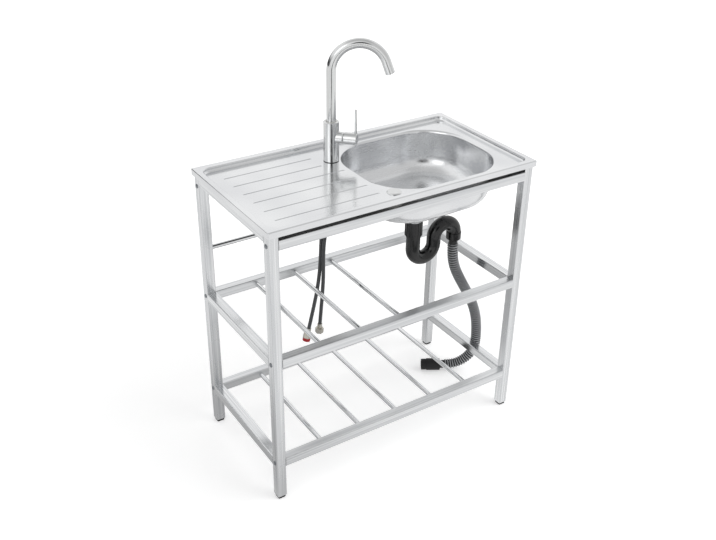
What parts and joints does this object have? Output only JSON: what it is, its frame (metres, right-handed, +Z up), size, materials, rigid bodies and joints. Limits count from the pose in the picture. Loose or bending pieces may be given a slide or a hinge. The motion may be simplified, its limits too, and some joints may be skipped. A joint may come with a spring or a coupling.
{
  "type": "freestanding outdoor sink",
  "caption": "Stainless steel camping or garden sink on a tube stand with drainer, rounded bowl, gooseneck mixer tap, S-trap with ribbed waste hose, and open tube shelves.",
  "frame": {"origin": "on the floor under the middle of the top", "axes": "+X along the front to the right, towards the bowl; +Y to the back; +Z up"},
  "size_m": [0.7857, 0.395, 1.053],
  "materials": {
    "stainless_steel": "satin polished",
    "tap_chrome": "polished",
    "zinc_steel": "zinc plated",
    "waste_chrome": "polished",
    "brass_fitting": "nickel plated",
    "white_plastic": "moulded",
    "black_plastic": "moulded satin",
    "black_rubber": "matt",
    "grey_hose": "ribbed satin",
    "supply_hose": "woven cover",
    "red_plastic": "moulded"
  },
  "bodies": {
    "stand": {"leg_front_left": "stainless_steel", "leg_front_right": "stainless_steel", "leg_back_left": "stainless_steel", "leg_back_right": "stainless_steel", "top_rail_front": "stainless_steel", "top_rail_back": "stainless_steel", "top_rail_left": "stainless_steel", "top_rail_right": "stainless_steel", "mid_rail_front": "stainless_steel", "mid_rail_back": "stainless_steel", "mid_rail_left": "stainless_steel", "mid_rail_right": "stainless_steel", "lower_rail_front": "stainless_steel", "lower_rail_back": "stainless_steel", "lower_rail_left": "stainless_steel", "lower_rail_right": "stainless_steel", "rear_brace_bar": "stainless_steel", "mid_shelf_tubes": "stainless_steel", "lower_shelf_tubes": "stainless_steel", "sink_deck": "stainless_steel", "sink_bowl": "stainless_steel", "tap_body": "tap_chrome", "tap_hole_cap": "tap_chrome", "rail_screws": "zinc_steel", "tap_back_nut": "zinc_steel", "tap_backing_washer": "zinc_steel", "drain_lock_nut": "zinc_steel", "drain_flange": "waste_chrome", "tap_shank": "brass_fitting", "cartridge_nut": "brass_fitting", "hot_hose_nut": "brass_fitting", "cold_hose_nut": "brass_fitting", "tap_cartridge": "white_plastic", "spout_bush": "white_plastic", "tap_hole_cap_nut": "white_plastic", "leg_end_plugs": "black_plastic", "rail_end_plugs": "black_plastic", "trap_inlet_nut": "black_plastic", "trap_bend": "black_plastic", "trap_outlet_collar": "black_plastic", "tap_base_gasket": "black_rubber", "drain_gasket": "black_rubber", "trap_inlet_washer": "black_rubber", "drain_hose_end": "black_rubber", "drain_hose": "grey_hose", "hot_supply_hose": "supply_hose", "cold_supply_hose": "supply_hose"},
    "spout": {"tap_spout": "tap_chrome", "spout_aerator": "white_plastic"},
    "carrier": {"cartridge_carrier": "white_plastic"},
    "handle": {"handle_stem": "zinc_steel", "handle_cap": "tap_chrome", "handle_lever": "tap_chrome"},
    "strainer": {"strainer_basket": "waste_chrome"},
    "hot_cap": {"hot_hose_cap": "red_plastic"},
    "foot_front_left": {"foot_front_left": "black_plastic"},
    "foot_front_right": {"foot_front_right": "black_plastic"},
    "foot_back_left": {"foot_back_left": "black_plastic"},
    "foot_back_right": {"foot_back_right": "black_plastic"}
  },
  "joints": [
    {"name": "spout_swivel", "type": "hinge", "parent": "stand", "child": "spout", "pos_m": [-0.048, 0.087, 0.85], "axis": [0, 0, 1], "continuous": true},
    {"name": "handle_turn", "type": "hinge", "parent": "stand", "child": "carrier", "pos_m": [-0.03386, 0.07286, 0.809], "axis": [0.7071, -0.7071, 0], "range_deg": [-45, 45]},
    {"name": "handle_tilt", "type": "hinge", "parent": "carrier", "child": "handle", "pos_m": [-0.03386, 0.07286, 0.809], "axis": [0.7071, 0.7071, 0], "range_deg": [0, 18]},
    {"name": "strainer_lift", "type": "slide", "parent": "stand", "child": "strainer", "axis": [0, 0, 1], "range_m": [0, 0.12]},
    {"name": "hot_cap_pull", "type": "slide", "parent": "stand", "child": "hot_cap", "axis": [-0.2576, -0.0215, -0.966], "range_m": [0, 0.06]},
    {"name": "foot_front_left_level", "type": "slide", "parent": "stand", "child": "foot_front_left", "axis": [0, 0, -1], "range_m": [0, 0.012]},
    {"name": "foot_front_right_level", "type": "slide", "parent": "stand", "child": "foot_front_right", "axis": [0, 0, -1], "range_m": [0, 0.012]},
    {"name": "foot_back_left_level", "type": "slide", "parent": "stand", "child": "foot_back_left", "axis": [0, 0, -1], "range_m": [0, 0.012]},
    {"name": "foot_back_right_level", "type": "slide", "parent": "stand", "child": "foot_back_right", "axis": [0, 0, -1], "range_m": [0, 0.012]}
  ]
}
